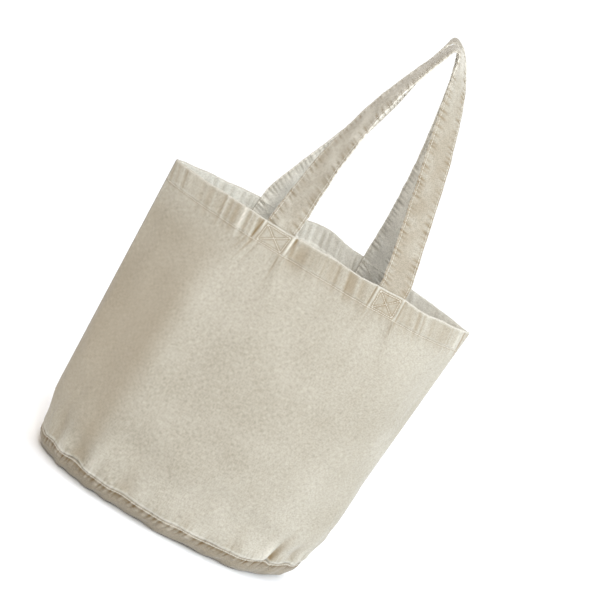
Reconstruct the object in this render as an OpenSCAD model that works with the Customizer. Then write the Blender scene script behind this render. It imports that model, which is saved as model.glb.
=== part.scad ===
// Canvas tote bag standing open on its oval base, with two web handles.
// Millimetres, +Z up, origin at the centre of the underside.
// -Y is the front. The two handles swing about the rim, everything else is one body.

/* [Body] */
// half width of the mouth, centre to side seam
rim_half_w = 205; // [195:1:215]
// how far the front rim bows out
front_bow = 74; // [60:1:76]
// how far the back rim bows out
back_bow = 60; // [50:1:72]
// half length of the oval base
base_half_l = 192; // [182:1:198]
// half depth of the oval base
base_half_d = 83; // [80:1:88]
// height of the rim at the middle of a panel
rim_z = 397; // [380:1:410]
// how much lower the rim is at the side seams
rim_droop = 5; // [0:1:10]
// height of the seam between panels and base
seam_z = 25; // [20:1:30]
// sideways lean of the front rim
front_lean = 14; // [0:1:16]
// sideways lean of the back rim
back_lean = -3; // [-8:1:8]

/* [Cloth] */
// thickness of one layer of canvas
cloth_t = 1.2; // [0.8:0.1:1.4]
// thickness of the turned hem
hem_t = 3; // [2.4:0.1:3.2]
// height of the turned hem
hem_h = 29; // [24:1:32]
// width of the seam allowances inside
allowance = 8; // [6:1:10]
// diameter of the sewing thread
thread_d = 0.6; // [0.4:0.1:0.8]

/* [Handles] */
// width of the webbing
strap_w = 37; // [32:1:40]
// thickness of the webbing
strap_t = 2.4; // [2:0.1:3]
// half the distance between the two legs of one handle
strap_x = 73.5; // [66:0.5:80]
// height of the top of the handles
apex_z = 672; // [640:1:690]
// sideways position of the top of the handles
apex_x = 8; // [-15:1:15]
// how far the tops of the two handles tip forward, in degrees
top_tilt = 12; // [0:1:15]
// how high the sewn ends stand above the rim
stub_h = 8; // [4:1:8]

/* [Hidden] */
// steps from one side seam to the other
cols = 40;
// radius of the turn from the base seam down to the floor
drop_r = 22;
// how far a panel swells out at half height
swell = 3;
// air between two layers that lie on each other, and between thread and cloth
gap = 0.15;
thread_gap = 0.12;
// height of the hem's lower edge, as a share of the panel
hem_at = (rim_z - hem_h - seam_z) / (rim_z - seam_z);
// height at which the loops begin, just above the sewn ends
loop_gap = 2.2;
leg_z = rim_z + stub_h + loop_gap;
// place of a handle's legs, as a share of the panel, and their depth behind the hem's face
strap_u = strap_x / rim_half_w;
stub_off = hem_t + gap + strap_t / 2;
// radius of the fold at the top of a handle
bend_r = 8;
// distance of the edge stitching from the edge of the webbing
edge_in = 3;
// distance of the box stitching from the rim and from the hem's lower edge
box_top = 3.5;
box_low = 4;
// distance of the hem stitching from the hem's lower edge
hem_sew = 1.5;
// where the side seams begin above the base seam and end below the hem
fin_low = 0.03;
fin_high = hem_at - 0.01;
// steps up a side seam, and its distance from the corner of the panels
fin_steps = 12;
fin_root = 0.4;
fin_full = 2.4;
// the base seam's allowance starts at this angle below the seam, and turns this far per millimetre
fold_start = 3;
fold_turn = 2.6;

// which sub-part to show

canvas = [0.76, 0.73, 0.65];
cord = [0.85, 0.83, 0.76];

function unit(v) = v / norm(v);
function lerp(a, b, t) = a + (b - a) * t;

// ---- shape of the cloth wall ----
// u runs from -1 at the left seam to 1 at the right seam, t from 0 at the base seam to 1 at the rim.
// The section changes from an ellipse at the base to two bowed sides that meet in a corner at the rim.
function cap(t) = min(t, 1);
function half_w(t) = lerp(base_half_l, rim_half_w, cap(t));
function bow(s, t) = lerp(base_half_d, s < 0 ? front_bow : back_bow, cap(t))
  + swell * 4 * cap(t) * (1 - cap(t));
function lean(s, t) = (s < 0 ? front_lean : back_lean) * cap(t);
function sec_x(s, u, t) = half_w(t) * ((1 - cap(t)) * sin(90 * u) + cap(t) * u)
  + lean(s, t) * (1 - u * u);
function sec_y(s, u, t) = bow(s, t) * ((1 - cap(t)) * cos(90 * u)
  + cap(t) * (1 - pow(abs(u), 3)));
function sec_dx(s, u, t) = half_w(t) * ((1 - cap(t)) * PI / 2 * cos(90 * u) + cap(t))
  - 2 * lean(s, t) * u;
function sec_dy(s, u, t) = bow(s, t) * (-(1 - cap(t)) * PI / 2 * sin(90 * u)
  - 3 * cap(t) * u * abs(u));
function wall_z(u, t) = seam_z + (rim_z - rim_droop * u * u - seam_z) * t;

// point on the wall, moved inward by off; the side edges are mitred on the plane y = 0
function wall(s, u, t, off) =
  let (dx = sec_dx(s, u, t), dy = sec_dy(s, u, t), l = norm([dx, dy]))
  abs(u) > 0.9999
    ? [sign(u) * (half_w(t) - off * l / abs(dy)), 0, wall_z(u, t)]
    : [sec_x(s, u, t) + off * dy / l, s * (sec_y(s, u, t) - off * dx / l), wall_z(u, t)];

// point on the base, a is the angle round the oval, f from 0 at the seam to 90 at the floor
function floor_pt(a, f, off) =
  let (i = drop_r * (1 - cos(f)) + off * cos(f))
  [(base_half_l - i) * cos(a), (base_half_d - i) * sin(a), seam_z * (1 - sin(f)) + off * sin(f)];

// ---- solids from stacked rings of points ----
module rings_solid(rings, closed = false, flat_caps = false) {
  n = len(rings[0]);
  m = len(rings);
  h = n / 2;
  last = closed ? m - 1 : m - 2;
  sides = [for (j = [0:last], i = [0:n - 1])
    let (k = (i + 1) % n, a = j * n, b = ((j + 1) % m) * n)
    each [[a + i, b + k, a + k], [a + i, b + i, b + k]]];
  e = (m - 1) * n;
  caps = closed ? [] : flat_caps
    ? [[for (i = [0:n - 1]) i], [for (i = [n - 1:-1:0]) e + i]]
    : [for (i = [0:h - 2]) each [[i, i + 1, n - 2 - i], [i, n - 2 - i, n - 1 - i],
        [e + i + 1, e + i, e + n - 2 - i], [e + n - 2 - i, e + i, e + n - 1 - i]]];
  polyhedron(points = [for (r = rings) each r], faces = concat(sides, caps), convexity = 8);
}

// thin cord through a list of points, square to the path
module cord_solid(p, r, closed = false) {
  m = len(p);
  rings = [for (i = [0:m - 1])
    let (a = p[closed ? (i + m - 1) % m : max(i - 1, 0)],
      b = p[closed ? (i + 1) % m : min(i + 1, m - 1)],
      d = unit(b - a),
      v = unit(cross(d, abs(d[2]) > 0.7 ? [0, 1, 0] : [0, 0, 1])),
      w = cross(d, v))
    [p[i] + r * v, p[i] + r * w, p[i] - r * v, p[i] - r * w]];
  rings_solid(rings, closed);
}

// ---- panels and base ----
module panel(s) {
  low = [for (i = [0:13]) [hem_at * i / 13, 0, cloth_t]];
  high = [for (i = [0:4]) [lerp(hem_at + 0.003, 0.996, i / 4), 0, hem_t]];
  rows = concat(low, high, [[1, 0.7, hem_t - 0.7]]);
  rings = [for (r = rows) concat(
    [for (i = [0:cols]) wall(s, 2 * i / cols - 1, r[0], r[1])],
    [for (i = [cols:-1:0]) wall(s, 2 * i / cols - 1, r[0], r[2])])];
  color(canvas) rings_solid(s < 0 ? rings : [for (r = rings) [for (i = [len(r) - 1:-1:0]) r[i]]]);
}

module base_panel() {
  n = 2 * cols;
  outer = [for (f = [90, 75, 60, 45, 30, 15, 0.1]) [for (i = [0:n - 1]) floor_pt(360 * i / n, f, 0)]];
  inner = [for (f = [0.1, 15, 30, 45, 60, 75, 90])
    [for (i = [0:n - 1]) floor_pt(360 * i / n, f, cloth_t)]];
  color(canvas) rings_solid(concat(outer, inner), false, true);
}

// ---- seams inside ----
function fin_x(t) = max([for (s = [-1, 1]) rim_half_w - wall(s, 1, t, cloth_t)[0]]);

module side_seam(sx) {
  rings = [for (i = [0:fin_steps])
    let (t = lerp(fin_low, fin_high, i / fin_steps), x = rim_half_w - fin_x(t), z = wall_z(1, t),
      y = cloth_t * 0.7)
    [[x - fin_root, -0.1, z], [x - fin_full, -y, z], [x - fin_full - allowance, -y, z],
      [x - fin_full - allowance, y, z], [x - fin_full, y, z], [x - fin_root, 0.1, z]]];
  color(canvas) scale([sx, 1, 1]) rings_solid([for (r = rings) [for (i = [5:-1:0]) r[i]]]);
}

module side_overlock(sx) {
  p = [for (i = [0:fin_steps])
    let (t = lerp(fin_low, fin_high, i / fin_steps), x = rim_half_w - fin_x(t))
    [sx * (x - fin_full - thread_d - 2 * gap - allowance), 0, wall_z(1, t)]];
  color(cord) cord_solid(p, thread_d);
}

function ring_at(f, off) = [for (i = [0:2 * cols - 1]) floor_pt(180 * i / cols, f, off)];

module base_seam() {
  f = allowance * fold_turn;
  a = cloth_t + 3 * gap;
  b = a + 1.3 * cloth_t;
  p = ring_at(fold_start, a);
  q = ring_at(f, a);
  v = ring_at(f, b);
  w = ring_at(fold_start, b);
  rings = [for (i = [0:2 * cols - 1]) [p[i], q[i], v[i], w[i]]];
  color(canvas) rings_solid(rings, true);
}

module base_overlock() {
  f = allowance * fold_turn + 3;
  color(cord) cord_solid(ring_at(f, 1.7 * cloth_t + 3 * gap), thread_d, true);
}

module base_seam_stitching() {
  color(cord) cord_solid(ring_at(7, -thread_d / 2 - thread_gap), thread_d / 2, true);
}

// ---- handles ----
function end_at(s, sx) = wall(s, sx * strap_u, 1, stub_off);

module handle_end(s, sx) {
  du = strap_w / 2 / rim_half_w;
  top = 1 + stub_h / (rim_z - seam_z);
  rings = [for (j = [0:4]) let (t = lerp(hem_at + 0.006, top, j / 4)) concat(
    [for (i = [0:6]) wall(s, sx * strap_u + du * (i / 3 - 1), t, hem_t + gap)],
    [for (i = [6:-1:0]) wall(s, sx * strap_u + du * (i / 3 - 1), t, hem_t + gap + strap_t)])];
  color(canvas) rings_solid(s < 0 ? rings : [for (r = rings) [for (i = [13:-1:0]) r[i]]]);
}

function bez(p, t) = pow(1 - t, 3) * p[0] + 3 * pow(1 - t, 2) * t * p[1]
  + 3 * (1 - t) * t * t * p[2] + t * t * t * p[3];

// middle of the fold at the top of handle s
function top_at(s) = let (r = s * (strap_w / 2 + 2))
  [apex_x, r * cos(top_tilt), apex_z + r * sin(top_tilt) - bend_r];

// One leg from the rim to the fold at the top. way is [how it leaves the rim, how it arrives at
// the fold, pull at the rim, pull at the fold]. The fold is a circle of radius bend_r.
function leg(s, sx, way) =
  let (e = end_at(s, sx), h = apex_z - leg_z, d0 = unit(way[0]), d1 = unit(way[1]),
    n = unit([sx * d1[2], 0, -sx * d1[0]]),
    q = top_at(s) + bend_r * n,
    p = [e[0], e[1], leg_z])
  [p, p + h * way[2] * d0, q - h * way[3] * d1, q];

// [point, half turn of the webbing] along a handle; the turn goes from 0 to 180 degrees.
// turn is [at the rim, at the top, how late the left leg turns, how late the right leg turns].
function handle_path(s, left, right, turn) =
  let (l = leg(s, -1, left), r = leg(s, 1, right), m = top_at(s), a = turn[0], b = turn[1],
    na = atan2(l[3][2] - m[2], l[3][0] - m[0]), nb = atan2(r[3][2] - m[2], r[3][0] - m[0]))
  concat(
    [for (i = [0:23]) let (t = i / 24) [bez(l, t), lerp(a, b, pow(t, turn[2]))]],
    [for (i = [0:8]) let (k = lerp(na, nb, i / 8))
      [m + bend_r * [cos(k), 0, sin(k)], lerp(b, 180 - b, i / 8)]],
    [for (i = [23:-1:0]) let (t = i / 24) [bez(r, t), 180 - lerp(a, b, pow(t, turn[3]))]]);

// tilt of the webbing, none where it leaves the rim and all of top_tilt at the top
function tilt(turn) = top_tilt * min(1, max(0, min(turn - 30, 150 - turn) / 60));

// frames [point, width direction, outward direction]
function frames(s, p) = [for (i = [0:len(p) - 1])
  let (n = len(p) - 1, k = tilt(p[i][1]), y = s * sin(p[i][1]),
    d = i == 0 ? [0, 0, 1] : i == n ? [0, 0, -1] : unit(p[i + 1][0] - p[i - 1][0]),
    g = [cos(p[i][1]), y * cos(k), y * sin(k)],
    w = unit(g - (g * d) * d))
  [p[i][0], w, -s * cross(w, d)]];

function front_path() = handle_path(-1, [[0.085, 0.172, 1], [0.448, 0.092, 1], 0.383, 0.436],
  [[-0.21, 0.17, 1], [-0.7, 0.098, 1], 0.356, 0.14], [17, 88, 0.744, 3.2]);
function back_path() = handle_path(1, [[0.297, -0.119, 1], [0.187, -0.078, 1], 0.327, 0.363],
  [[-0.002, -0.12, 1], [-0.641, -0.08, 1], 0.296, 0.278], [10.5, 80, 0.938, 1.545]);

module handle(s, path) {
  f = frames(s, path);
  a = strap_w / 2;
  b = strap_t / 2;
  c = 0.6;
  shape = [[-a, -b + c], [-a + c, -b], [a - c, -b], [a, -b + c],
    [a, b - c], [a - c, b], [-a + c, b], [-a, b - c]];
  rings = [for (k = f) [for (q = shape) k[0] + q[0] * k[1] + q[1] * k[2]]];
  color(canvas) rings_solid(s > 0 ? rings : [for (r = rings) [for (i = [7:-1:0]) r[i]]]);
}

module handle_stitching(s, path) {
  f = frames(s, path);
  out = strap_t / 2 + thread_d / 2 + 3 * thread_gap;
  for (e = [-1, 1])
    color(cord) cord_solid([for (k = f) k[0] + e * (strap_w / 2 - edge_in) * k[1] + out * k[2]],
      thread_d / 2);
}

// ---- stitching on the wall ----
function on_wall(s, u, z) = wall(s, u, (z - seam_z) / (rim_z - rim_droop * u * u - seam_z),
  -thread_d / 2 - thread_gap);

module hem_stitching(s) {
  p = [for (i = [1:cols - 1]) let (u = 2 * i / cols - 1)
    on_wall(s, u, rim_z - rim_droop * u * u - hem_h + hem_sew)];
  color(cord) cord_solid(p, thread_d / 2);
}

// a box with a cross in it, sewn through hem and webbing
module box_stitching(s, sx) {
  c = sx * strap_u;
  du = (strap_w / 2 - edge_in) / rim_half_w;
  lo = rim_z - hem_h + box_low;
  hi = rim_z - box_top;
  corner = [[c - du, lo], [c + du, lo], [c + du, hi], [c - du, hi]];
  color(cord) {
    cord_solid([for (k = [0:3], i = [0:3]) let (a = corner[k], b = corner[(k + 1) % 4])
      on_wall(s, lerp(a[0], b[0], i / 4), lerp(a[1], b[1], i / 4))], thread_d / 2, true);
    for (e = [[0, 2], [1, 3]])
      cord_solid([for (i = [1:7]) let (a = corner[e[0]], b = corner[e[1]])
        on_wall(s, lerp(a[0], b[0], i / 8), lerp(a[1], b[1], i / 8))
        + [0, e[0] * s * (thread_d + 0.1), 0]], thread_d / 2);
  }
}

module front_panel() { panel(-1); }
module back_panel() { panel(1); }
module left_side_seam() { side_seam(-1); }
module right_side_seam() { side_seam(1); }
module front_handle() { handle(-1, front_path()); }
module back_handle() { handle(1, back_path()); }
module front_handle_left_end() { handle_end(-1, -1); }
module front_handle_right_end() { handle_end(-1, 1); }
module back_handle_left_end() { handle_end(1, -1); }
module back_handle_right_end() { handle_end(1, 1); }
module front_hem_stitching() { hem_stitching(-1); }
module back_hem_stitching() { hem_stitching(1); }
module front_left_box_stitching() { box_stitching(-1, -1); }
module front_right_box_stitching() { box_stitching(-1, 1); }
module back_left_box_stitching() { box_stitching(1, -1); }
module back_right_box_stitching() { box_stitching(1, 1); }
module front_handle_stitching() { handle_stitching(-1, front_path()); }
module back_handle_stitching() { handle_stitching(1, back_path()); }
module left_side_overlock() { side_overlock(-1); }
module right_side_overlock() { side_overlock(1); }

front_panel();
back_panel();
base_panel();
left_side_seam();
right_side_seam();
base_seam();
front_handle();
back_handle();
front_handle_left_end();
front_handle_right_end();
back_handle_left_end();
back_handle_right_end();
front_hem_stitching();
back_hem_stitching();
base_seam_stitching();
front_left_box_stitching();
front_right_box_stitching();
back_left_box_stitching();
back_right_box_stitching();
front_handle_stitching();
back_handle_stitching();
left_side_overlock();
right_side_overlock();
base_overlock();
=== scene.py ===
"""Canvas tote bag, standing open on its oval base. Metres, +Z up, -Y is the front."""

import math

import bpy
import numpy as np
from mathutils import Matrix, Vector


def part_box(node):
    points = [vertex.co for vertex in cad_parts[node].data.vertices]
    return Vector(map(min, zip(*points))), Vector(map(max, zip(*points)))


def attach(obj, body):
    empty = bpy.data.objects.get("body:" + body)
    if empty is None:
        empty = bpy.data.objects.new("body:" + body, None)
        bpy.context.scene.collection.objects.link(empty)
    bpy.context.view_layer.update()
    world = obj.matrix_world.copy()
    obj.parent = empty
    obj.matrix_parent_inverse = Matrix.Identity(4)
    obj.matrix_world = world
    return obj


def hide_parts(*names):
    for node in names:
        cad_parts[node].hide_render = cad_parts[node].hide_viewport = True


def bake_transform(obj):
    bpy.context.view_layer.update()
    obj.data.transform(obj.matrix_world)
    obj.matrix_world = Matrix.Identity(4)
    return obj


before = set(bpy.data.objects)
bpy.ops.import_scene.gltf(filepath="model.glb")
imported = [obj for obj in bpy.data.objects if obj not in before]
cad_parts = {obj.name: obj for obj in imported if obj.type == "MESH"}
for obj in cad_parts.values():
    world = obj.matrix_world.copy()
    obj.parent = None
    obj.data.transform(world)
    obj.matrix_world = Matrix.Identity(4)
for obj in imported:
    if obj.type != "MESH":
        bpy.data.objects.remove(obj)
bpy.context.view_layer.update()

SIDES = FRONT, BACK = -1, 1

# ---- sizes: the CAD's, read from its boxes where they show, with the cloth's own thicknesses ----
RIM_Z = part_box("front_panel")[1].z
SEAM_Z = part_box("front_panel")[0].z
BASE_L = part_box("base_panel")[1].x
BASE_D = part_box("base_panel")[1].y
RIM_W = 0.205
BOW = {FRONT: 0.074, BACK: 0.060}
LEAN = {FRONT: 0.014, BACK: -0.003}
SWELL = 0.003
RIM_DROOP = 0.005
HEM_H = 0.029
HEM_T = 0.003
CLOTH_T = 0.0011
DROP_R = 0.022
STRAP_W = 0.037
STRAP_T = 0.0026
STRAP_U = 0.0735 / RIM_W
STRAP_IN = 0.00435
LEG_Z = RIM_Z + 0.0102
APEX = (0.008, 0.672)
TOP_TILT = 12.0
BEND_R = 0.008
PANEL_HALF = 0.222
ALLOWANCE = 0.008
SPAN = (-PANEL_HALF, PANEL_HALF)
TAU = 2 * math.pi


# ---- small maths ----
def smooth(x, lo, hi):
    t = np.clip((np.asarray(x, float) - lo) / (hi - lo), 0, 1)
    return t * t * (3 - 2 * t)


def bump(x, centre, width):
    return np.exp(-(((x - centre) / width) ** 2))


def band(x, rise, full, fall, end):
    """0 before rise, 1 between full and fall, and 0 again after end."""
    return smooth(x, rise, full) * (1 - smooth(x, fall, end))


def unit(v):
    return v / np.maximum(np.linalg.norm(v, axis=-1, keepdims=True), 1e-12)


def distances(points):
    """Distance from the first of a row of points to each of them, along the row."""
    return np.concatenate([[0], np.cumsum(np.linalg.norm(np.diff(points, axis=0), axis=1))])


class Waves:
    """Smooth random height field: a seeded sum of sine waves with lengths between two limits."""

    def __init__(self, seed, shortest, longest, count=24, stretch=(1.0, 1.0)):
        r = np.random.default_rng(seed)
        length = shortest * (longest / shortest) ** r.random(count)
        angle = r.random(count) * TAU
        self.kx = np.cos(angle) * TAU / length / stretch[0]
        self.ky = np.sin(angle) * TAU / length / stretch[1]
        self.phase = r.random(count) * TAU
        self.size = (length / longest) ** 0.7
        self.size /= np.sqrt((self.size**2).sum() / 2)

    def __call__(self, x, y=0.0):
        x, y = np.broadcast_arrays(x, y)
        total = np.zeros(x.shape)
        for kx, ky, phase, size in zip(self.kx, self.ky, self.phase, self.size):
            total += size * np.sin(kx * x + ky * y + phase)
        return total


class Ridges:
    """Random row of rounded ridges along a line, unevenly spaced, from about -0.5 to 1."""

    def __init__(self, seed, first, last, spacing, wide=0.28, level=0.45):
        r = np.random.default_rng(seed)
        at = [first]
        while at[-1] < last:
            at.append(at[-1] + spacing * (0.55 + 0.9 * r.random()))
        self.at = np.array(at)
        self.width = spacing * wide * (1 + 0.7 * r.random(len(at)))
        self.size = 0.45 + 0.75 * r.random(len(at))
        self.level = level

    def __call__(self, x):
        x = np.asarray(x, float)
        total = np.zeros(x.shape)
        for at, width, size in zip(self.at, self.width, self.size):
            total += size * bump(x, at, width)
        return total - self.level


def creases(seed, first, last, spacing):
    """Random row of narrow creases along a line, 0 between them and about 1 in each."""
    return Ridges(seed, first, last, spacing, 0.12, 0.0)


# ---- the cloth wall, as in the CAD ----
def section(s, u, t):
    """Point and outward normal, in plan, of the wall of side s at u (-1 to 1) and t (0 base seam, 1 rim)."""
    u, t = np.broadcast_arrays(np.asarray(u, float), np.asarray(t, float))
    k = np.clip(t, 0, 1)
    half = BASE_L + (RIM_W - BASE_L) * k
    depth = BASE_D + (BOW[s] - BASE_D) * k + SWELL * 4 * k * (1 - k)
    lean = LEAN[s] * k
    a = np.pi / 2 * u
    x = half * ((1 - k) * np.sin(a) + k * u) + lean * (1 - u * u)
    y = depth * ((1 - k) * np.cos(a) + k * (1 - np.abs(u) ** 3))
    dx = half * ((1 - k) * np.pi / 2 * np.cos(a) + k) - 2 * lean * u
    dy = depth * (-(1 - k) * np.pi / 2 * np.sin(a) - 3 * k * u * np.abs(u))
    length = np.hypot(dx, dy)
    z = SEAM_Z + (RIM_Z - RIM_DROOP * u * u - SEAM_Z) * t
    point = np.stack([x, s * y, z], -1)
    normal = np.stack([-dy / length, s * dx / length, np.zeros_like(z)], -1)
    return point, normal


def wall(s, u, t, inward=0.0):
    point, normal = section(s, u, t)
    return point - normal * np.asarray(inward)[..., None]


# ---- relief of the cloth ----
WALL_H = RIM_Z - SEAM_Z
HEM_LOW = WALL_H - HEM_H
HEM_AT = HEM_LOW / WALL_H


def both(kind, seed, *values):
    """One random relief of a kind for each side, the front's and the back's from different seeds."""
    return {s: kind(seed + s, *values) for s in SIDES}


hem_ridges = both(Ridges, 20, *SPAN, 0.0088)
hem_fine = both(Ridges, 30, *SPAN, 0.0046)
hem_creases = both(creases, 35, *SPAN, 0.0125)
drag_creases = both(creases, 55, *SPAN, 0.0062)
base_ridges = both(Ridges, 40, *SPAN, 0.0072)
base_creases = both(creases, 45, *SPAN, 0.0068)
broad = both(Waves, 50, 0.10, 0.30, 14, (1.0, 1.7))
medium = both(Waves, 60, 0.022, 0.070, 26, (0.8, 1.5))
small = both(Waves, 70, 0.007, 0.016, 30)
rim_wave = both(Waves, 80, 0.035, 0.12, 12)

# tucks over the base seam: place along the panel, height of the tuck, depth, width
TUCKS = {
    FRONT: [(-0.150, 0.045, 0.0030, 0.011), (-0.104, 0.058, 0.0042, 0.012), (-0.046, 0.040, 0.0026, 0.010),
            (0.012, 0.030, 0.0016, 0.012), (0.066, 0.034, 0.0020, 0.010), (0.150, 0.044, 0.0034, 0.009),
            (0.188, 0.050, 0.0028, 0.011)],
    BACK: [(-0.182, 0.050, 0.0032, 0.012), (-0.128, 0.046, 0.0030, 0.010), (-0.070, 0.060, 0.0040, 0.012),
           (-0.018, 0.036, 0.0020, 0.010), (0.052, 0.052, 0.0036, 0.011), (0.098, 0.040, 0.0026, 0.012),
           (0.160, 0.056, 0.0038, 0.010)],
}
# the fold on the front where the base seam is pinched up
PINCH_AT = 0.108

STITCH_H = HEM_LOW + 0.0016
BOX_AT = STRAP_U * PANEL_HALF
BOX_HALF = STRAP_W / 2 - 0.0030
BOX_LOW, BOX_TOP = STITCH_H + 0.0022, WALL_H - 0.0035


def box_lines(a, h, wide):
    """How near a point is, 0 to 1, to the sewn box and cross of either handle end."""
    mid, high = (BOX_LOW + BOX_TOP) / 2, (BOX_TOP - BOX_LOW) / 2
    x, y = np.abs(np.abs(a) - BOX_AT), np.abs(h - mid)
    over = np.maximum(x - BOX_HALF, y - high)
    inside = 1 - smooth(over, -wide, 0)
    return np.maximum(bump(over, 0, wide), inside * bump(x * high / BOX_HALF, y, 1.3 * wide))


def drag(s, a, h):
    """Short creases that spread down from the lower corners of the sewn boxes."""
    below = np.maximum(STITCH_H - h, 0.0)
    total = 0.0
    for box in (-BOX_AT, BOX_AT):
        fan = (a - box) / (1 + 9 * below)
        total = total + bump(np.abs(fan) - BOX_HALF, 0.001, 0.010) * drag_creases[s](box + fan)
    return total * bump(below, 0.004, 0.017) * smooth(below, 0.0, 0.002)


def hem_patch(s, a):
    """How strongly the hem is gathered at a."""
    return np.clip(0.70 + 0.55 * rim_wave[s](a * 0.8, 3.0), 0.15, 1.4)


def box_zone(a, full=0.0150, end=0.0195):
    """1 within full of the middle of a sewn handle end, 0 beyond end."""
    return 1 - smooth(np.abs(np.abs(a) - BOX_AT), full, end)


def seam_lift(s, a):
    """How far the base seam rises or falls at a, the distance along the panel from its middle."""
    total = 0.0007 * rim_wave[s](a * 1.3, 0.5) - 0.0004
    for at, _high, deep, wide in TUCKS[s]:
        total += 1.05 * deep * bump(a, at, wide * 1.2) - 0.40 * deep * bump(a, at, wide * 3.0)
    if s == FRONT:
        total += 0.0038 * (smooth(a, PINCH_AT - 0.040, PINCH_AT) - smooth(a, PINCH_AT, PINCH_AT + 0.010))
    return total * (1 - smooth(np.abs(a), 0.200, PANEL_HALF))


def add_object(name, data):
    obj = bpy.data.objects.new(name, data)
    bpy.context.scene.collection.objects.link(obj)
    return obj


def grid_faces(rows, cols, ring_rows=False, ring_cols=False, caps=False):
    """Quads of a rows by cols grid of points, closed round either way or over its two ends if asked."""
    r = np.arange(rows if ring_rows else rows - 1)
    c = np.arange(cols if ring_cols else cols - 1)
    r, c = np.meshgrid(r, c, indexing="ij")
    r2, c2 = (r + 1) % rows, (c + 1) % cols
    quads = np.stack([r * cols + c, r * cols + c2, r2 * cols + c2, r2 * cols + c], -1).reshape(-1, 4)
    ends = [list(range(cols))[::-1], [(rows - 1) * cols + i for i in range(cols)]] if caps else []
    return quads.tolist() + ends


# ---- sag and creases by cloth simulation ----
SIM_COLS = 76
SIM_ROWS = 66
SIM_FRAMES = 18
SIM_SPARE = 0.004
SIM_SHARE = 0.75
SIM_CAP = 0.0055


def seed_shape(s, u, t):
    """The wall that the simulation starts from: soft swells, and the beginnings of the tucks."""
    a, h = PANEL_HALF * u, WALL_H * t
    point, normal = section(s, u, t)
    out = 0.0009 * broad[s](a, h) + 0.0003 * medium[s](a, h)
    for at, high, deep, wide in TUCKS[s]:
        out -= 0.5 * deep * bump(h, 0, high) ** 1.3 * bump(a, at, wide)
    point += normal * (out * (1 - smooth(np.abs(u), 0.93, 1)))[..., None]
    point[..., 2] += seam_lift(s, a) * (1 - smooth(h, 0, 0.05))
    point[np.abs(u) > 0.9999, 1] = 0
    return point, normal


def simulate_walls():
    """Both panels as one tube of cloth with a little spare, held at the hem and the base seam.

    Returns, for each side, how far every grid point moved outward, as (rows, columns)."""
    n = 2 * SIM_COLS
    ahead = np.linspace(-1, 1, SIM_COLS + 1)
    t = np.linspace(0, HEM_AT, SIM_ROWS)
    halves = [seed_shape(s, *np.meshgrid(u, t)) for s, u in ((FRONT, ahead[:-1]), (BACK, ahead[:0:-1]))]
    start, normal = (np.concatenate(part, 1) for part in zip(*halves))
    mesh = bpy.data.meshes.new("slack")
    mesh.from_pydata(start.reshape(-1, 3).tolist(), [], grid_faces(SIM_ROWS, n, ring_cols=True))
    obj = add_object("slack", mesh)
    held = obj.vertex_groups.new(name="held")
    for row in (0, SIM_ROWS - 2, SIM_ROWS - 1):
        held.add([row * n + c for c in range(n)], 1.0, "REPLACE")
    for c in (0, SIM_COLS):
        held.add([row * n + c for row in range(1, SIM_ROWS - 2)], 0.35, "REPLACE")
    cloth = obj.modifiers.new("cloth", "CLOTH")
    set_cloth(cloth)
    scene = bpy.context.scene
    cloth.point_cache.frame_start = 1
    cloth.point_cache.frame_end = SIM_FRAMES
    for frame_number in range(1, SIM_FRAMES + 1):
        scene.frame_set(frame_number)
    result = obj.evaluated_get(bpy.context.evaluated_depsgraph_get())
    moved = np.empty(start.size)
    result.data.vertices.foreach_get("co", moved)
    scene.frame_set(1)
    bpy.data.objects.remove(obj)
    bpy.data.meshes.remove(mesh)
    out = ((moved.reshape(start.shape) - start) * normal).sum(-1)
    out = SIM_CAP * np.tanh(SIM_SHARE * out / SIM_CAP)
    return {FRONT: out[:, :SIM_COLS + 1], BACK: np.concatenate([out[:, :1], out[:, :SIM_COLS - 1:-1]], 1)}


def set_cloth(cloth):
    c = cloth.settings
    c.quality = 6
    c.mass = 0.2
    c.tension_stiffness = c.compression_stiffness = 25
    c.shear_stiffness = 10
    c.bending_stiffness = 3
    c.tension_damping = c.compression_damping = c.shear_damping = 5
    c.bending_damping = 0.5
    c.air_damping = 2
    c.vertex_group_mass = "held"
    c.pin_stiffness = 4
    c.shrink_min = c.shrink_max = -SIM_SPARE
    c.effector_weights.gravity = 0.05
    cloth.collision_settings.use_collision = False
    cloth.collision_settings.use_self_collision = False


class Field:
    """Smooth surface through a grid of values, for u from -1 to 1 and t from 0 to the hem."""

    def __init__(self, grid):
        self.grid = np.pad(grid, 1, mode="edge")
        self.rows, self.cols = grid.shape

    @staticmethod
    def weights(f):
        g = 1 - f
        return g**3 / 6, (3 * f**3 - 6 * f**2 + 4) / 6, (3 * g**3 - 6 * g**2 + 4) / 6, f**3 / 6

    def __call__(self, u, t):
        x = np.clip((np.asarray(u) + 1) / 2, 0, 1) * (self.cols - 1)
        y = np.clip(np.asarray(t) / HEM_AT, 0, 1) * (self.rows - 1)
        i = np.minimum(x.astype(int), self.cols - 2)
        j = np.minimum(y.astype(int), self.rows - 2)
        total = 0.0
        for b, wy in enumerate(self.weights(y - j)):
            for a, wx in enumerate(self.weights(x - i)):
                total = total + wx * wy * self.grid[j + b, i + a]
        return total


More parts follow.
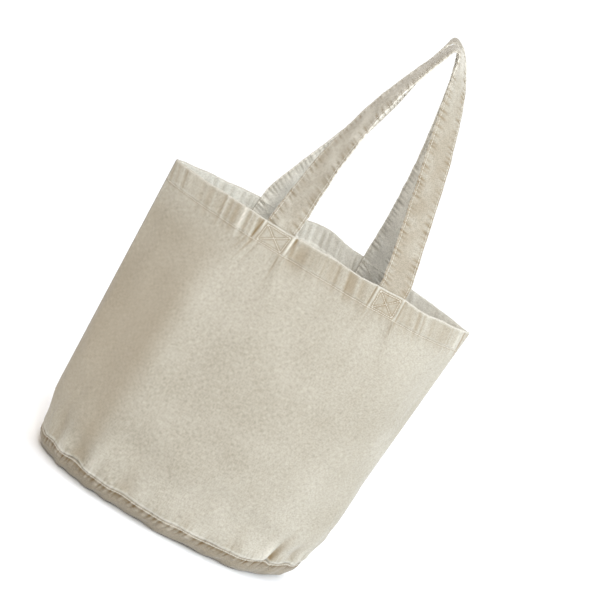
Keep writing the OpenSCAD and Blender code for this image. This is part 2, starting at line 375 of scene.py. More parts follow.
def wall_relief(s, u, t):
    """Outward displacement of the wall and its upward shift."""
    a, h, side = PANEL_HALF * u, WALL_H * t, np.abs(u)
    edge = 1 - smooth(side, 0.93, 1.0)
    body = 1 - smooth(h, HEM_LOW - 0.045, HEM_LOW)

    # broad sag and soft creases of the body
    out = sag[s](u, t) * body
    out += 0.0015 * broad[s](a, h) * body * smooth(h, 0.0, 0.06)
    out += 0.00045 * medium[s](a, h) * (0.35 + 0.65 * smooth(h, 0.16, 0.0)) * (0.4 + 0.6 * body)
    out += 0.00009 * small[s](a, h)
    if s == FRONT:
        # the left third turns away along a soft fold that runs down towards the base
        fold = -0.128 + 0.040 * (1 - t)
        out += 0.0048 * bump(a, fold, 0.030) * band(t, 0.02, 0.30, 0.62, 0.86)
        out -= 0.0030 * bump(a, fold - 0.048, 0.034) * band(t, 0.02, 0.3, 0.6, 0.9)
        out += 0.0022 * bump(a, -0.082, 0.014) * bump(h, 0.055, 0.042)
        # dented right shoulder
        out -= 0.0015 * bump(a, 0.195, 0.030) * bump(h, WALL_H - 0.095, 0.050)

    # the cloth hangs in soft flutes from the sewn handle ends
    fade = band(h, WALL_H - 0.105, HEM_LOW - 0.004, HEM_LOW, WALL_H - 0.012)
    spread = 1 + 1.5 * (HEM_LOW - h) / 0.12
    for box in (-BOX_AT, BOX_AT):
        d = (a - box) / spread
        for way in (-1, 1):
            out += 0.0011 * fade * (bump(d, 0.021 * way, 0.0050) - 1.1 * bump(d, 0.0125 * way, 0.0045))

    # tucks over the base seam
    for at, high, deep, wide in TUCKS[s]:
        d = a - at - 0.12 * h * np.sign(at + 1e-9)
        valley = bump(h, 0, high) ** 1.3 * smooth(h, -0.003, 0.011)
        out -= 1.15 * deep * valley * bump(d, 0, wide * (0.75 + 0.6 * h / high))
        out += 0.5 * deep * valley * (bump(d, wide * 2.1, wide) + bump(d, -wide * 1.9, wide * 0.8))

    if s == FRONT:
        d = a - PINCH_AT - 0.25 * h
        out += 0.0052 * bump(d, -0.0085, 0.0065) * bump(h, 0, 0.032) * smooth(h, -0.004, 0.009)
        out -= 0.0066 * bump(d, 0.0040, 0.0050) * bump(h, 0, 0.036) * smooth(h, -0.004, 0.007)

    # the panel curls in over the base seam, with short creases above the stitches
    out += 0.0010 * bump(h, 0.008, 0.006) - 0.0002 * np.exp(-h / 0.0022)
    out -= 0.0005 * bump(h, 0, 0.011) * base_creases[s](a + 0.15 * h)

    # puckered hem: ridges lean like rope, pinched along the row of stitches
    in_hem = smooth(h, STITCH_H - 0.0005, STITCH_H + 0.006) * (1 - 0.45 * smooth(h, WALL_H - 0.010, WALL_H))
    under = band(h, STITCH_H - 0.017, STITCH_H - 0.001, STITCH_H - 0.001, STITCH_H + 0.002)
    lean = a + 0.22 * (h - STITCH_H)
    box = box_zone(a)
    beside = np.abs(np.abs(a) - BOX_AT) - BOX_HALF
    out += in_hem * (0.0014 * bump(beside, 0.0040, 0.0016) - 0.0012 * bump(beside, 0.0070, 0.0013))
    out += 0.0004 * box * in_hem - 0.0007 * box_lines(a, h, 0.0010)
    calm = 1 - 0.78 * box
    out -= 0.0009 * calm * (in_hem + under) * hem_creases[s](lean)
    out -= 0.0010 * drag(s, a, h)
    if s == FRONT:
        sunk = bump(a, 0.036 - BOX_AT, 0.012)
        out -= 0.0036 * sunk * band(h, WALL_H - 0.060, WALL_H - 0.030, WALL_H - 0.012, WALL_H)
    gathers = 0.00120 * hem_patch(s, a) * hem_ridges[s](lean) + 0.00045 * hem_fine[s](lean)
    out += calm * (in_hem + 2 / 3 * under) * gathers
    out += 0.0006 * smooth(h, STITCH_H + 0.001, STITCH_H + 0.004) * (1 - box * 0.3)
    out -= 0.0010 * bump(h, STITCH_H, 0.0014)
    out += 0.0010 * rim_wave[s](a, 0.0) * smooth(h, WALL_H - 0.10, WALL_H) * (1 - smooth(side, 0.8, 0.97))
    if s == BACK:
        out += 0.0050 * bump(a, -0.004, 0.036) * smooth(h, WALL_H - 0.09, WALL_H)

    # where the webbing is sewn on, the hem is stiff and lies against it
    stiff = box_zone(a, 0.0205, 0.0270) * smooth(h, STITCH_H - 0.008, STITCH_H)
    out += stiff * (0.0009 * np.tanh(out / 0.0009) - out)

    out *= edge
    # the side seam is drawn in between the two panels
    out -= 0.0004 * np.exp(-(1 - side) * PANEL_HALF / 0.0028)

    up = seam_lift(s, a) * (1 - smooth(h, 0.0, 0.045))
    if s == BACK:
        up += 0.0060 * bump(a, 0.002, 0.040) * smooth(h, WALL_H - 0.08, WALL_H)
    wavy = 0.0006 * rim_wave[s](a * 1.1, 7.0) + 0.00022 * hem_ridges[s](lean)
    return out, up + wavy * smooth(h, WALL_H - 0.03, WALL_H) * edge


sag = {s: Field(grid) for s, grid in simulate_walls().items()}


def settle(p):
    """The bag's own lean: its left end is drawn in and its right end stands off the floor."""
    x, y, z = p[..., 0].copy(), p[..., 1], p[..., 2].copy()
    low = 1 - smooth(z, 0.020, 0.085)
    p[..., 0] += (0.0075 * smooth(-x, 0.110, 0.195) - 0.0085 * smooth(x, 0.110, 0.195)) * low
    corner = smooth(x, 0.090, 0.185) * (1 - smooth(z, 0.028, 0.085))
    corner *= (0.35 + 0.65 * smooth(-y, -0.05, 0.03)) * (0.75 + 0.25 * smooth(z, 0, 0.02))
    p[..., 2] += 0.0085 * corner
    return p


def wall_surface(s, u, t):
    """The relieved wall: point and smooth normal."""
    u, t = np.asarray(u, float), np.asarray(t, float)
    point, normal = section(s, u, t)
    out, up = wall_relief(s, u, t)
    point = point + normal * out[..., None]
    point[..., 2] += up
    # both panels meet on the plane of the side seams
    point[..., 1] = np.where(np.abs(u) > 0.9999, 0.0, s * np.maximum(s * point[..., 1], 0.0))
    return settle(point), normal


# ---- mesh builders ----
def piece(name, shape, slot, stands_for, body="bag", uv=None, wear=None):
    """One piece of the visual model, from (verts, faces), with its slot's material, in place of CAD nodes."""
    verts = np.asarray(shape[0], float).reshape(-1, 3)
    mesh = bpy.data.meshes.new(name)
    mesh.from_pydata(verts.tolist(), [], [list(map(int, f)) for f in shape[1]])
    if uv is not None:
        loops = np.empty(len(mesh.loops), int)
        mesh.loops.foreach_get("vertex_index", loops)
        layer = mesh.uv_layers.new(name="cloth")
        layer.data.foreach_set("uv", np.asarray(uv, float).reshape(-1, 2)[loops].ravel())
    worn_and_lit = mesh.attributes.new("wear", "FLOAT", "POINT")
    worn_and_lit.data.foreach_set("value", np.zeros(len(verts)) if wear is None else np.asarray(wear, float).ravel())
    mesh.polygons.foreach_set("use_smooth", np.ones(len(mesh.polygons), bool))
    mesh.update()
    mesh.materials.append(MATERIALS[slot])
    obj = add_object(name, mesh)
    if body:
        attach(obj, body)
    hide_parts(*stands_for)
    return obj


def tube(path, radius, sides, closed):
    """Verts and faces of a round tube along a path of points."""
    n = len(path)
    d = unit(np.roll(path, -1, 0) - np.roll(path, 1, 0) if closed else np.gradient(path, axis=0))
    v = np.zeros_like(path)
    start = np.array([0.0, 0.0, 1.0]) if abs(d[0][2]) < 0.8 else np.array([1.0, 0.0, 0.0])
    v[0] = unit(np.cross(d[0], start))
    for i in range(1, n):
        v[i] = unit(v[i - 1] - d[i] * (v[i - 1] @ d[i]))
    w = np.cross(d, v)
    a = (np.arange(sides) * TAU / sides)[:, None]
    ring = path[:, None] + radius * (np.cos(a) * v[:, None] + np.sin(a) * w[:, None])
    return ring.reshape(-1, 3), grid_faces(n, sides, ring_rows=closed, ring_cols=True, caps=not closed)


def join_parts(parts):
    verts, faces, first = [], [], 0
    for v, f in parts:
        verts.append(np.asarray(v, float).reshape(-1, 3))
        faces += [[i + first for i in face] for face in f]
        first += len(verts[-1])
    return np.concatenate(verts), faces


STITCH_ALONG = np.array([-0.5, -0.36, -0.12, 0.12, 0.36, 0.5])
STITCH_THICK = np.array([0.45, 0.90, 1.0, 1.0, 0.90, 0.45])
STITCH_RISE = np.array([-0.95, 0.15, 0.45, 0.45, 0.15, -0.95])


def stitches(start, end, normal, radius, sides=6):
    """Separate thread stitches, each sinking into the cloth at both ends."""
    d = end - start
    length = np.linalg.norm(d, axis=1, keepdims=True)
    d = d / length
    n = unit(normal - d * (normal * d).sum(1, keepdims=True))
    b = np.cross(d, n)
    mid = (start + end) / 2
    core = (
        mid[:, None]
        + STITCH_ALONG[None, :, None] * (length[:, None] * d[:, None])
        + STITCH_RISE[None, :, None] * radius * n[:, None]
    )
    a = np.arange(sides) * TAU / sides
    ring = np.cos(a)[:, None] * b[:, None, None] + np.sin(a)[:, None] * n[:, None, None]
    verts = core[:, :, None] + radius * STITCH_THICK[None, :, None, None] * ring
    rows = len(STITCH_ALONG)
    one = grid_faces(rows, sides, ring_cols=True, caps=True)
    faces = [[i + k * rows * sides for i in f[::-1]] for k in range(len(start)) for f in one]
    return verts.reshape(-1, 3), faces


# share of each stitch hidden under the cloth, sideways wander, and how far thread stands off the webbing
STITCH_GAP = 0.08
STITCH_WANDER = 0.00012
THREAD_OUT = 0.00012


def stitch_line(point_at, length, pitch, seed, radius=0.00036):
    """Stitches along a line. point_at(distances) gives points and normals."""
    r = np.random.default_rng(seed)
    n = max(1, int(round(length / pitch)))
    at = np.linspace(0, length, n + 1)
    gap = STITCH_GAP * length / n / 2
    pa, na = point_at(at[:-1] + gap)
    pb, nb = point_at(at[1:] - gap)
    side = unit(np.cross(pb - pa, na + nb))
    pa = pa + side * r.normal(0, STITCH_WANDER, n)[:, None]
    pb = pb + side * r.normal(0, STITCH_WANDER, n)[:, None]
    return stitches(pa, pb, na + nb, radius)


# ---- materials ----
class Graph:
    """Short forms for building a node tree."""

    def __init__(self, owner):
        owner.use_nodes = True
        self.owner, self.nodes, self.links = owner, owner.node_tree.nodes, owner.node_tree.links
        self.nodes.clear()

    def add(self, kind, inputs, **values):
        node = self.nodes.new(kind)
        for key, value in values.items():
            setattr(node, key, value)
        for key, value in inputs.items():
            if isinstance(value, bpy.types.NodeSocket):
                self.links.new(value, node.inputs[key])
            elif value is not None:
                node.inputs[key].default_value = value
        return node

    def place(self):
        return self.add("ShaderNodeTexCoord", {}).outputs["Object"]

    def math(self, operation, a, b=None, c=None, clamp=False):
        return self.add("ShaderNodeMath", {0: a, 1: b, 2: c}, operation=operation, use_clamp=clamp).outputs[0]

    def times(self, a, b, clamp=False):
        return self.math("MULTIPLY", a, b, clamp=clamp)

    def mix(self, factor, a, b):
        a, b = ((*c, 1.0) if isinstance(c, tuple) else c for c in (a, b))
        return self.add("ShaderNodeMix", {0: factor, 6: a, 7: b}, data_type="RGBA").outputs[2]

    def noise(self, vector, scale, detail=3.0, rough=0.55):
        inputs = {"Vector": vector, "Scale": scale, "Detail": detail, "Roughness": rough}
        return self.add("ShaderNodeTexNoise", inputs).outputs[0]

    def scaled(self, vector, scale):
        return self.add("ShaderNodeMapping", {"Vector": vector, "Scale": scale}).outputs[0]

    def toward(self, way, target):
        node = self.add("ShaderNodeVectorMath", {0: way, 1: unit(np.array(target))}, operation="DOT_PRODUCT")
        return self.math("MAXIMUM", node.outputs["Value"], 0.0)

    def remap(self, value, a, b, c, d):
        inputs = {"Value": value, "From Min": a, "From Max": b, "To Min": c, "To Max": d}
        return self.add("ShaderNodeMapRange", inputs, clamp=True).outputs[0]

    def bump(self, height, strength, distance, normal=None):
        inputs = {"Height": height, "Strength": strength, "Distance": distance, "Normal": normal}
        return self.add("ShaderNodeBump", inputs).outputs[0]

    def finish(self, color, rough, normal, sheen):
        shader = self.add("ShaderNodeBsdfPrincipled", {
            "Base Color": color, "Roughness": rough, "Normal": normal,
            "Sheen Weight": sheen, "Sheen Roughness": 0.45, "Specular IOR Level": 0.22})
        self.add("ShaderNodeOutputMaterial", {0: shader.outputs[0]})
        return self.owner


THREAD_PITCH = 0.00085


def canvas_material(name, base, worn_and_lit, shade):
    """Washed plain-weave canvas. The weave follows the cloth's own width and length, in metres."""
    g = Graph(bpy.data.materials.new(name))
    uv = g.add("ShaderNodeUVMap", {}, uv_map="cloth").outputs[0]
    position = g.place()
    parts = g.add("ShaderNodeSeparateXYZ", {0: uv})
    k = math.pi / THREAD_PITCH
    across = g.math("SINE", g.times(parts.outputs[0], k))
    along = g.math("SINE", g.times(parts.outputs[1], k))
    over = g.remap(g.times(across, along), -0.25, 0.25, 0.0, 1.0)

    def woven(warp, weft):
        return g.math("ADD", g.times(over, warp), g.times(g.math("SUBTRACT", 1.0, over), weft))

    warp = g.math("POWER", g.math("ABSOLUTE", across), 0.7)
    weft = g.math("POWER", g.math("ABSOLUTE", along), 0.7)
    weave = woven(warp, weft)
    # thick and thin yarns both ways, soft mottling from the wash, and broad uneven fading
    slub = g.math("ADD", *(g.noise(g.scaled(uv, way), 1.0, 2.0) for way in ((900, 60, 1), (60, 900, 1))))
    mottle = g.noise(position, 560, 3.0, 0.6)
    patch = g.noise(position, 26, 1.5, 0.45)
    fade = g.noise(position, 6.5, 2.0, 0.5)
    tone = g.math("MULTIPLY_ADD", mottle, 0.32, g.times(patch, 0.55))
    level = g.remap(g.math("MULTIPLY_ADD", slub, 0.42, tone), 0.42, 0.98, 0.0, 1.0)
    color = g.mix(level, shade, base)
    color = g.mix(g.remap(fade, 0.35, 0.70, 0.0, 0.20), color, worn_and_lit)
    # single yarns paler or darker than their neighbours
    grain = woven(*(g.noise(g.scaled(uv, way), 1.0, 1.0) for way in ((1150, 190, 1), (190, 1150, 1))))
    color = g.mix(g.remap(grain, 0.40, 0.66, 0.0, 0.60), color, tuple(c * 1.25 for c in base))
    color = g.mix(g.remap(grain, 0.58, 0.34, 0.0, 0.60), color, tuple(c * 0.72 for c in shade))
    # the attribute painted on the mesh: above 0 paler, for real wear and for painted highlights and painted
    # light on shaded faces; below 0 darker brown, for painted shade in creases, grooves and cloth turned from
    # the light, and some darker tone
    wear = g.add("ShaderNodeAttribute", {}, attribute_name="wear").outputs["Fac"]
    scuff_and_painted_highlight = g.times(wear, g.remap(mottle, 0.35, 0.65, 0.6, 1.0), clamp=True)
    color = g.mix(scuff_and_painted_highlight, color, worn_and_lit)
    painted_shade_and_darker_tone = g.times(wear, -0.8, clamp=True)
    color = g.mix(painted_shade_and_darker_tone, color, tuple(c * k for c, k in zip(shade, (0.76, 0.62, 0.44))))
    # painted shade in the gaps between the yarns of the weave
    color = g.mix(g.remap(weave, 0.15, 0.75, 0.10, 0.0), color, tuple(c * 0.45 for c in shade))
    normal = g.bump(weave, 0.55, 0.00022)
    normal = g.bump(g.math("MULTIPLY_ADD", slub, 0.5, mottle), 0.5, 0.00035, normal)
    normal = g.bump(g.noise(position, 150, 2.0, 0.5), 0.05, 0.0010, normal)
    return g.finish(color, g.remap(mottle, 0.3, 0.7, 0.84, 0.95), normal, 0.22)


def thread_material(name, base, dark, twist):
    """Spun thread: a fine twist along its length and small changes of tone from stitch to stitch."""
    g = Graph(bpy.data.materials.new(name))
    position = g.place()
    color = g.mix(g.remap(g.noise(position, 700, 2.0), 0.3, 0.7, 0.0, 1.0), dark, base)
    fuzz = g.noise(g.scaled(position, (1, 1, 1.6)), twist, 2.0)
    normal = g.bump(fuzz, 0.5, 0.00010)
    return g.finish(color, g.remap(fuzz, 0.3, 0.7, 0.72, 0.88), normal, 0.3)


# by slot: the canvas colours are clean, pale (worn cloth, painted highlights and painted light on shaded
# faces) and dark (darker tone and painted shade)
MATERIALS = {
    "canvas": canvas_material(
        "washed_canvas", (0.356, 0.327, 0.266), (0.760, 0.735, 0.655), (0.274, 0.245, 0.187)),
    # the base is a darker cloth, darkened further as painted shade of its band, which turns down towards the
    # floor
    "base_canvas": canvas_material(
        "base_canvas", (0.245, 0.210, 0.155), (0.460, 0.415, 0.340), (0.180, 0.150, 0.105)),
    "strap_canvas": canvas_material(
        "strap_canvas", (0.352, 0.322, 0.262), (0.790, 0.755, 0.670), (0.262, 0.234, 0.180)),
    "seam_allowance": canvas_material(
        "raw_canvas", (0.430, 0.398, 0.330), (0.600, 0.570, 0.500), (0.335, 0.303, 0.238)),
    "sewing_thread": thread_material("sewing_thread", (0.630, 0.598, 0.525), (0.500, 0.465, 0.390), 3200),
    "overlock_thread": thread_material("overlock_thread", (0.730, 0.690, 0.600), (0.600, 0.555, 0.460), 2400),
}


# ---- panels ----
PANEL_COLS = 320


def panel_rows():
    near_seam, near_hem = 0.060, HEM_LOW - 0.012
    low = np.linspace(0, near_seam, 28)
    mid = np.linspace(near_seam, near_hem, 50)[1:]
    top = np.linspace(near_hem, WALL_H - 0.0016, 52)[1:]
    return np.concatenate([low, mid, top]) / WALL_H


def panel_columns():
    """Places across a panel, closer together under the sewn handle ends."""
    a = np.linspace(-PANEL_HALF, PANEL_HALF, 4001)
    count = np.cumsum(1 + 1.6 * box_zone(a, 0.022, 0.028))
    u = np.interp(np.linspace(count[0], count[-1], PANEL_COLS + 1), count, a) / PANEL_HALF
    u[[0, -1]] = -1, 1
    return u


def panel_wear(s, across, h):
    """Painted highlights on ridges and folded edges and painted shade in creases, tucks, stitch grooves, a
    dent and the left third that turns from the light, on the outside; paler at the side seams. Inside: paler,
    most towards the hem, as painted light on its shaded face.
    """
    lean = across + 0.22 * (h - STITCH_H)
    near = smooth(h, STITCH_H - 0.015, STITCH_H) * (0.6 + 0.4 * smooth(h, STITCH_H, STITCH_H + 0.003))
    # painted highlight on the hem's ridges, painted shade in its creases and in the drag creases below the
    # boxes
    rub_and_painted_light = near * (0.75 * hem_ridges[s](lean) + 0.50 * hem_fine[s](lean) - 0.70 * hem_creases[s](lean))
    rub_and_painted_light = (rub_and_painted_light - 1.1 * drag(s, across, h)) * hem_patch(s, across) * (1 - 0.8 * box_zone(across))
    # painted shade in the grooves of the hem stitches and sewn boxes; the hem's top edge paler, and a painted
    # highlight on the lip above the stitch groove
    rub_and_painted_light -= 0.45 * bump(h, STITCH_H, 0.0012) + 0.75 * box_lines(across, h, 0.0016)
    rub_and_painted_light += 0.55 * smooth(h, WALL_H - 0.004, WALL_H) + 0.25 * bump(h, STITCH_H + 0.002, 0.0016)
    # painted highlight on the panel's edge at the base seam, painted highlight and shade on the short pleats
    # above it
    folds = 0.25 * base_ridges[s](across) - 0.45 * base_creases[s](across)
    rub_and_painted_light += 0.80 * bump(h, 0.0010, 0.0022) + bump(h, 0, 0.010) * folds
    # painted highlight beside each tuck and painted shade in its valley
    for at, high, deep, wide in TUCKS[s]:
        d = across - at - 0.12 * h * np.sign(at)
        tuck_highlight_and_shade = bump(d, wide * 1.7, wide * 0.7) - 0.9 * bump(d, 0, wide * 0.9)
        rub_and_painted_light += 115 * deep * bump(h, 0, high) ** 1.3 * tuck_highlight_and_shade
    if s == FRONT:
        # painted shade: the left third, which turns from the light along its fold, darker and browner
        turned = smooth(0.040 * (1 - h / WALL_H) - 0.120 - across, -0.010, 0.028)
        turned *= band(h, 0.0, 0.05, WALL_H - 0.075, WALL_H - 0.03)
        rub_and_painted_light -= turned * (0.20 + 0.32 * bump(h, 0.17, 0.11))
        # painted shadow in the sunk hem right of the left sewn box
        rub_and_painted_light -= 0.65 * bump(across, 0.036 - BOX_AT, 0.012) * bump(h, WALL_H - 0.019, 0.016)
        # painted highlight on the pinched fold and painted shade to its right
        d = across - PINCH_AT - 0.25 * h
        pinch_highlight_and_shade = bump(d, -0.009, 0.0070) - 1.3 * bump(d, 0.0055, 0.0060)
        rub_and_painted_light += bump(h, 0, 0.028) * smooth(h, -0.002, 0.004) * pinch_highlight_and_shade
        # the hem a little darker from the middle to the right
        rub_and_painted_light -= 0.22 * near * smooth(across, -0.045, 0.0)
    # painted highlight on the ridge beside each sewn box and painted shade in the hollow beyond
    beside = np.abs(np.abs(across) - BOX_AT) - BOX_HALF
    rub_and_painted_light += near * (0.5 * bump(beside, 0.0038, 0.0013) - 0.7 * bump(beside, 0.0068, 0.0012))
    rub_and_painted_light += 0.35 * smooth(np.abs(across) / PANEL_HALF, 0.985, 1.0)
    rub_and_painted_light = np.where(rub_and_painted_light > 0, 0.6 * rub_and_painted_light, rub_and_painted_light)
    # painted light: the inside is paler, most towards the hem, for its shaded face
    return rub_and_painted_light, 0.45 + 0.55 * smooth(h, WALL_H - 0.09, WALL_H - 0.03) + 0.4 * rub_and_painted_light


# the hem's folded top is paler
FOLD_PALENESS = 0.42
INSIDE_UV = 0.5


def make_panel(s, name):
    rows, u = panel_rows(), panel_columns()
    uu, tt = np.meshgrid(u, rows)
    across, h = PANEL_HALF * uu, WALL_H * tt
    outer, flat_n = wall_surface(s, uu, tt)
    n = unit(np.cross(np.gradient(outer, axis=1), np.gradient(outer, axis=0)))
    n = unit(0.15 * flat_n - s * n)
    n[:, [0, -1], 1] = 0
    n = unit(n)
    hem = smooth(h, HEM_LOW - 0.0006, HEM_LOW + 0.0006)
    thick = CLOTH_T + (HEM_T - CLOTH_T) * hem * (1 + 0.10 * hem_ridges[s](across))
    thick -= 0.0007 * bump(h, HEM_LOW + 0.0016, 0.0010)
    inner = outer - n * thick[..., None]
    # near the side seams the inside of the two panels meets on the plane of the seam
    inner[..., 1] = s * np.maximum(s * inner[..., 1], 0.0)
    ends = n[:, [0, -1], 0]
    inner[:, [0, -1], 1] = 0.0
    inner[:, [0, -1], 0] = outer[:, [0, -1], 0] - np.sign(ends) * thick[:, [0, -1]] * 1.25
    # the fold along the top of the hem, half a circle from outside to inside
    mid, half = (outer[-1] + inner[-1]) / 2, (outer[-1] - inner[-1]) / 2
    up = np.linalg.norm(half, axis=1)[:, None] * np.array([0, 0, 1.0])
    arc = np.array([mid + half * math.cos(k) + up * math.sin(k) for k in np.linspace(0, math.pi, 8)[1:-1]])
    ring = np.concatenate([outer, arc, inner[::-1]])
    count, cols, total = len(rows), PANEL_COLS + 1, len(ring)
    faces = grid_faces(total, cols, ring_rows=True)
    for c in (0, cols - 1):
        for i in range(count - 1):
            faces.append([k * cols + c for k in (i, i + 1, total - 2 - i, total - 1 - i)])
        faces.append([i * cols + c for i in range(count - 1, total - count + 1)])
    fold = WALL_H + 0.0016 * np.arange(1, len(arc) + 1)
    v = np.concatenate([WALL_H * rows, fold, WALL_H * rows[::-1] + INSIDE_UV])
    uv = np.stack(np.broadcast_arrays(PANEL_HALF * u[None, :], v[:, None]), -1)
    outside, inside = panel_wear(s, across, h)
    wear = np.concatenate([outside, np.full(arc.shape[:2], FOLD_PALENESS), inside[::-1]])
    if s == BACK:
        faces = [f[::-1] for f in faces]
    return piece(f"{name}_cloth", (ring, faces), "canvas", [name], uv=uv, wear=wear)


front_panel = make_panel(FRONT, "front_panel")
back_panel = make_panel(BACK, "back_panel")


# ---- base ----
# cloth from the base seam down to the floor, measured along the cloth
TURN_DOWN = 0.037


def oval(angle, fall, inward=0.0):
    """Point on the base: angle round the oval, fall from 0 at the seam to 90 degrees at the floor."""
    i = DROP_R * (1 - np.cos(fall)) + inward * np.cos(fall)
    x, y = (BASE_L - i) * np.cos(angle), (BASE_D - i) * np.sin(angle)
    return np.stack(np.broadcast_arrays(x, y, SEAM_Z * (1 - np.sin(fall)) + inward * np.sin(fall)), -1)


def side_and_place(angle):
    """Which panel an angle lies under, and how far along that panel."""
    s = np.where(np.sin(angle) < 0, FRONT, BACK)
    place = np.arcsin(np.clip(np.cos(angle), -1, 1)) / (math.pi / 2) * PANEL_HALF
    return s, place


base_waves = Waves(91, 0.020, 0.070, 26)
floor_waves = Waves(92, 0.030, 0.120, 26)


def base_pleats(s, a, down):
    """Ridges, and creases between them, of the base where it is gathered into the seam."""
    a = a + 0.35 * down
    return (np.where(s == FRONT, kind[FRONT](a), kind[BACK](a)) for kind in (base_ridges, base_creases))


def base_relief(angle, fall):
    """Outward displacement of the base and its upward shift."""
    s, a = side_and_place(angle)
    down = fall / (math.pi / 2) * TURN_DOWN
    ridge, crease = base_pleats(s, a, down)
    out = (0.00130 * ridge - 0.00110 * crease) * band(down, 0.0012, 0.0032, 0.0075, 0.0125)
    out = out - 0.0003 * np.exp(-down / 0.0011) - 0.0005 * bump(down, 0.0100, 0.0014)
    x, y = 0.19 * np.cos(angle), 0.19 * np.sin(angle)
    out = out + 0.0007 * base_waves(x + down, y - down) * band(down, 0.004, 0.014, 0.026, 0.036)
    for side in SIDES:
        for at, _high, deep, wide in TUCKS[side]:
            out = out + 0.15 * deep * (s == side) * bump(a, at, wide * 0.8) * (1 - smooth(down, 0.0, 0.018))
    lift = np.where(s == FRONT, seam_lift(FRONT, a), seam_lift(BACK, a))
    return out, lift * (1 - smooth(down, 0.0, 0.024))


def base_surface(angle, fall):
    p = oval(angle, fall)
    n = unit(p - oval(angle, fall, 1.0))
    out, up = base_relief(angle, fall)
    p = p + n * out[..., None]
    p[..., 2] += up
    return settle(p), n


BASE_COLS = 760
FLAT_UV = 0.7


def make_base():
    angle = np.arange(BASE_COLS) * TAU / BASE_COLS
    falls = np.radians(np.concatenate([np.linspace(0, 30, 15), np.linspace(30, 90, 15)[1:]]))
    turned, n = base_surface(*np.meshgrid(angle, falls))
    # rings of the bottom, from the turned edge to the middle, raised a little off the floor
    shrink = np.linspace(1, 0.03, 14)[1:]
    bottom = turned[-1] * np.stack([shrink, shrink, 0 * shrink], -1)[:, None]
    raised = 0.5 + 0.35 * floor_waves(bottom[..., 0], bottom[..., 1])
    bottom[..., 2] = np.maximum(0.0009 * smooth(1 - shrink, 0.03, 0.25)[:, None] * raised, 0)
    outer = np.concatenate([turned, bottom])
    outer[..., 2] = np.maximum(outer[..., 2], 0.0)
    inner = np.concatenate([turned - n * CLOTH_T, bottom + np.array([0, 0, CLOTH_T])])
    faces = grid_faces(2 * len(outer), BASE_COLS, ring_cols=True, caps=True)
    down = falls / (math.pi / 2) * TURN_DOWN
    flat = np.concatenate([TURN_DOWN - down, 0 * shrink])[:, None]
    scale = np.concatenate([np.ones(len(falls)), shrink])[:, None]
    length, depth = ((half - DROP_R) * scale + flat for half in (BASE_L, BASE_D))
    uv = np.stack([length * np.cos(angle), depth * np.sin(angle)], -1)
    ridge, crease = base_pleats(*side_and_place(angle[None]), down[:, None])
    # painted highlight along the seam edge and painted shade just below it, then painted highlight on the
    # pleat ridges and painted shade in their creases
    rub_and_painted_light = (0.5 * bump(down, 0.0012, 0.0014) - 0.5 * bump(down, 0.0040, 0.0012))[:, None]
    rub_and_painted_light = rub_and_painted_light + (0.9 * ridge - 1.3 * crease) * bump(down, 0.0050, 0.0046)[:, None]
    clean = np.zeros((len(shrink), BASE_COLS))
    return piece(
        "base_cloth", (np.concatenate([outer[::-1], inner]), faces), "base_canvas", ["base_panel"],
        uv=np.concatenate([uv[::-1], uv + FLAT_UV]), wear=np.concatenate([clean, rub_and_painted_light[::-1], 0 * rub_and_painted_light, clean]))


base_panel = make_base()


# ---- handles ----
def bez(p, t):
    t = np.asarray(t)[:, None]
    return (1 - t) ** 3 * p[0] + 3 * (1 - t) ** 2 * t * p[1] + 3 * (1 - t) * t * t * p[2] + t**3 * p[3]


# how each leg leaves the rim, how it arrives at the fold at the top, and its pull at either end
LEG_WAYS = {
    FRONT: {
        "left": ((0.085, 0.172, 1), (0.448, 0.092, 1), 0.383, 0.436),
        "right": ((-0.21, 0.17, 1), (-0.7, 0.098, 1), 0.356, 0.14),
    },
    BACK: {
        "left": ((0.297, -0.119, 1), (0.187, -0.078, 1), 0.327, 0.363),
        "right": ((-0.002, -0.12, 1), (-0.641, -0.08, 1), 0.296, 0.278),
    },
}
# turn of the webbing at the rim and at the top, and how late each leg turns
TURNS = {
    FRONT: {"rim": 17.0, "top": 88.0, "left": 0.744, "right": 3.2},
    BACK: {"rim": 10.5, "top": 80.0, "left": 0.938, "right": 1.545},
}


